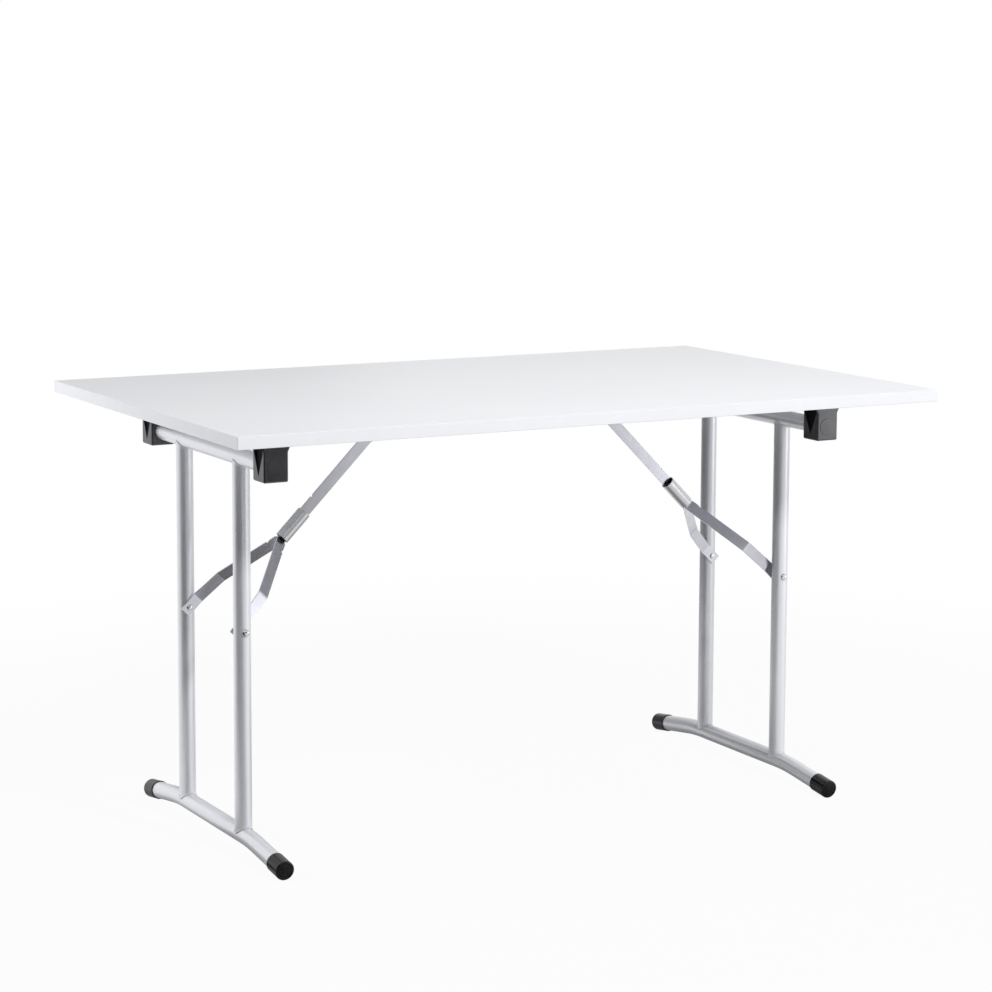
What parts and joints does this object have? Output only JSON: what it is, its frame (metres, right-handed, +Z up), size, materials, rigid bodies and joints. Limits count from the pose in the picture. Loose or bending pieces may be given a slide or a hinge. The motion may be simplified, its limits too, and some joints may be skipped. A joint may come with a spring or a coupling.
{
  "type": "folding table",
  "caption": "Rectangular folding table with a white board on silver tube leg frames that fold inward, each held open by a Y-shaped stay with a sliding locking sleeve.",
  "frame": {"origin": "on the floor under the middle of the board, with the table standing open", "axes": "+X along the board to the right, +Y across it away from the front edge, +Z up"},
  "size_m": [1.3, 0.8, 0.73],
  "materials": {
    "white_laminate": "white melamine laminate on chipboard, satin",
    "white_edge": "white plastic edge band, satin",
    "silver_paint": "silver powder coat on steel tube, semi-gloss",
    "zinc_steel": "zinc-plated flat steel, satin",
    "sleeve_steel": "zinc-plated steel tube, satin",
    "bright_steel": "bright zinc-plated steel",
    "black_plastic": "black moulded plastic, satin",
    "black_gloss_plastic": "black moulded plastic, glossy"
  },
  "bodies": {
    "tabletop": {"board_core": "white_laminate", "edge_band_left": "white_edge", "edge_band_right": "white_edge", "edge_band_front": "white_edge", "edge_band_back": "white_edge", "pivot_block_left_front": "black_plastic", "block_screw_left_front_1": "bright_steel", "block_screw_left_front_2": "bright_steel", "pivot_block_left_back": "black_plastic", "block_screw_left_back_1": "bright_steel", "block_screw_left_back_2": "bright_steel", "left_stay_bracket": "zinc_steel", "left_hinge_pin": "bright_steel", "left_bracket_screw_1": "bright_steel", "left_bracket_screw_2": "bright_steel", "pivot_block_right_front": "black_plastic", "block_screw_right_front_1": "bright_steel", "block_screw_right_front_2": "bright_steel", "pivot_block_right_back": "black_plastic", "block_screw_right_back_1": "bright_steel", "block_screw_right_back_2": "bright_steel", "right_stay_bracket": "zinc_steel", "right_hinge_pin": "bright_steel", "right_bracket_screw_1": "bright_steel", "right_bracket_screw_2": "bright_steel"},
    "left_leg_frame": {"left_pivot_tube": "silver_paint", "left_foot_tube": "silver_paint", "leg_tube_left_front": "silver_paint", "leg_tube_left_back": "silver_paint", "leg_rivet_left_front": "zinc_steel", "leg_rivet_left_back": "zinc_steel", "foot_cap_left_front": "black_gloss_plastic", "foot_cap_left_back": "black_gloss_plastic"},
    "left_upper_stay": {"left_stay_upper_bar": "zinc_steel", "left_knee_rivet": "zinc_steel"},
    "left_lower_stay": {"stay_lower_bar_left_front": "zinc_steel", "stay_lower_bar_left_back": "zinc_steel", "bar_rivet_left_front": "zinc_steel", "bar_rivet_left_back": "zinc_steel"},
    "left_sleeve": {"left_locking_sleeve": "sleeve_steel"},
    "right_leg_frame": {"right_pivot_tube": "silver_paint", "right_foot_tube": "silver_paint", "leg_tube_right_front": "silver_paint", "leg_tube_right_back": "silver_paint", "leg_rivet_right_front": "zinc_steel", "leg_rivet_right_back": "zinc_steel", "foot_cap_right_front": "black_gloss_plastic", "foot_cap_right_back": "black_gloss_plastic"},
    "right_upper_stay": {"right_stay_upper_bar": "zinc_steel", "right_knee_rivet": "zinc_steel"},
    "right_lower_stay": {"stay_lower_bar_right_front": "zinc_steel", "stay_lower_bar_right_back": "zinc_steel", "bar_rivet_right_front": "zinc_steel", "bar_rivet_right_back": "zinc_steel"},
    "right_sleeve": {"right_locking_sleeve": "sleeve_steel"}
  },
  "joints": [
    {"name": "left_leg_fold", "type": "hinge", "parent": "tabletop", "child": "left_leg_frame", "pos_m": [-0.5235, 0, 0.656], "axis": [0, -1, 0], "range_deg": [0, 90]},
    {"name": "left_stay_hinge", "type": "hinge", "parent": "tabletop", "child": "left_upper_stay", "pos_m": [-0.2375, 0, 0.656], "axis": [0, 1, 0], "range_deg": [0, 45]},
    {"name": "left_stay_knee", "type": "hinge", "parent": "left_upper_stay", "child": "left_lower_stay", "pos_m": [-0.3805, 0, 0.513], "axis": [0, -1, 0], "range_deg": [0, 180]},
    {"name": "left_sleeve_slide", "type": "slide", "parent": "left_upper_stay", "child": "left_sleeve", "axis": [0.7071, 0, 0.7071], "range_m": [0, 0.153]},
    {"name": "right_leg_fold", "type": "hinge", "parent": "tabletop", "child": "right_leg_frame", "pos_m": [0.5235, 0, 0.656], "axis": [0, 1, 0], "range_deg": [0, 85]},
    {"name": "right_stay_hinge", "type": "hinge", "parent": "tabletop", "child": "right_upper_stay", "pos_m": [0.2375, 0, 0.656], "axis": [0, -1, 0], "range_deg": [0, 43.97]},
    {"name": "right_stay_knee", "type": "hinge", "parent": "right_upper_stay", "child": "right_lower_stay", "pos_m": [0.3805, 0, 0.513], "axis": [0, 1, 0], "range_deg": [0, 172.95]},
    {"name": "right_sleeve_slide", "type": "slide", "parent": "right_upper_stay", "child": "right_sleeve", "axis": [-0.7071, 0, 0.7071], "range_m": [0, 0.153]}
  ],
  "couplings": [
    {"joint": "left_stay_hinge", "follows": "left_leg_fold", "ratio": 0.5},
    {"joint": "left_stay_knee", "follows": "left_leg_fold", "ratio": 2},
    {"joint": "left_sleeve_slide", "follows": "left_leg_fold", "m_per_rad": 0.0974},
    {"joint": "right_stay_hinge", "follows": "right_leg_fold", "ratio": 0.5172},
    {"joint": "right_stay_knee", "follows": "right_leg_fold", "ratio": 2.0344},
    {"joint": "right_sleeve_slide", "follows": "right_leg_fold", "m_per_rad": 0.1031}
  ]
}
